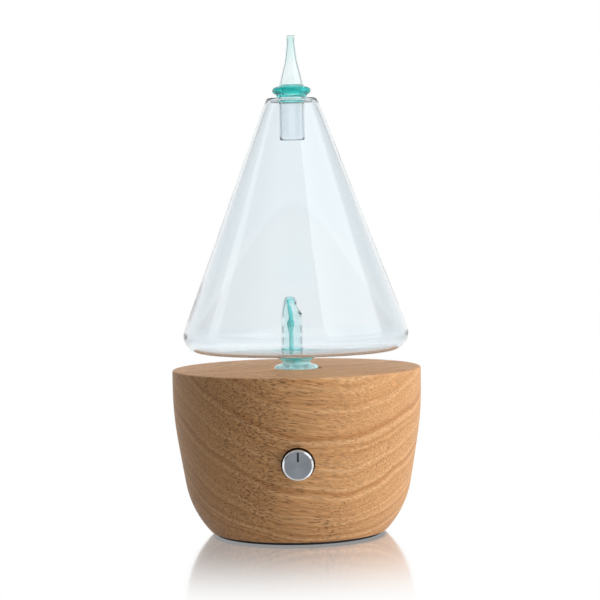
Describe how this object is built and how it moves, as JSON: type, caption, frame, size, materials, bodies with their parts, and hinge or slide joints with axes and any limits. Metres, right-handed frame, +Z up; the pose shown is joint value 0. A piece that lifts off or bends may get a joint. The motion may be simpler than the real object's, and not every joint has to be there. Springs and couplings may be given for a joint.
{
  "type": "nebulising essential oil diffuser",
  "caption": "Tabletop nebulising oil diffuser: a turned wooden base with a front knob holds a blown glass cone reservoir with a loose glass cap.",
  "frame": {"origin": "on the vertical axis, in the plane that the foot ring rests on", "axes": "+Z up along the glass cone, -Y towards the front with the knob, +Y out of the power inlet at the back, +X to the right seen from the front"},
  "size_m": [0.11, 0.1112, 0.2195],
  "materials": {
    "warm_wood": "oiled",
    "foot_rubber": "matte",
    "black_plastic": "matte",
    "white_plastic": "satin",
    "silicone": "satin",
    "pump_rubber": "matte",
    "foam": "open-cell foam",
    "plated_steel": "zinc plated",
    "ferrite": "sintered",
    "brass": "machined",
    "board_green": "solder mask",
    "capacitor_sleeve": "shrink sleeve",
    "lead_red": "insulation",
    "spun_aluminium": "spun face, diamond-cut edge",
    "pointer_black": "filled groove",
    "clear_glass": "clear, blown",
    "tinted_glass": "turquoise tint, lampworked"
  },
  "bodies": {
    "base": {"wood_housing": "warm_wood", "foot_ring": "foot_rubber", "bottom_plate": "black_plastic", "motor_endcap": "black_plastic", "pump_crankcase": "black_plastic", "valve_plate": "black_plastic", "pump_head": "black_plastic", "wobble_plate": "black_plastic", "potentiometer_track": "black_plastic", "timer_chip": "black_plastic", "motor_driver": "black_plastic", "dc_jack_body": "black_plastic", "air_fitting": "black_plastic", "socket_retainer": "white_plastic", "board_standoffs": "white_plastic", "board_connectors": "white_plastic", "seat_socket": "silicone", "air_tube": "silicone", "pump_diaphragm": "pump_rubber", "pump_cradle": "foam", "bottom_screws": "plated_steel", "motor_can": "plated_steel", "pump_screws": "plated_steel", "pump_strap": "plated_steel", "strap_screws": "plated_steel", "potentiometer_can": "plated_steel", "potentiometer_bracket": "plated_steel", "bracket_screws": "plated_steel", "potentiometer_washer": "plated_steel", "potentiometer_nut": "plated_steel", "board_screws": "plated_steel", "dc_jack_nut": "plated_steel", "motor_magnets": "ferrite", "threaded_inserts": "brass", "dc_jack_pin": "brass", "dc_jack_terminals": "brass", "potentiometer_terminals": "brass", "control_board": "board_green", "smoothing_capacitor": "capacitor_sleeve", "power_leads": "lead_red", "motor_leads": "lead_red", "potentiometer_leads": "lead_red"},
    "reservoir": {"glass_reservoir": "clear_glass", "jet_tube": "tinted_glass", "oil_riser": "tinted_glass", "mist_shroud": "tinted_glass"},
    "cap": {"glass_cap": "tinted_glass"},
    "knob": {"knob_shell": "spun_aluminium", "knob_pointer": "pointer_black", "knob_core": "black_plastic", "potentiometer_shaft": "plated_steel", "potentiometer_wiper": "black_plastic"},
    "pump_rotor": {"motor_shaft": "plated_steel", "motor_armature": "plated_steel", "eccentric": "black_plastic"}
  },
  "joints": [
    {"name": "knob_turn", "type": "hinge", "parent": "base", "child": "knob", "pos_m": [0, -0.05, 0.0366], "axis": [0, 1, 0], "range_deg": [-150, 150]},
    {"name": "reservoir_lift", "type": "slide", "parent": "base", "child": "reservoir", "axis": [0, 0, 1], "range_m": [0, 0.03]},
    {"name": "cap_lift", "type": "slide", "parent": "reservoir", "child": "cap", "axis": [0, 0, 1], "range_m": [0, 0.03]},
    {"name": "pump_spin", "type": "hinge", "parent": "base", "child": "pump_rotor", "pos_m": [0, 0.004, 0.0172], "axis": [1, 0, 0], "continuous": true}
  ]
}
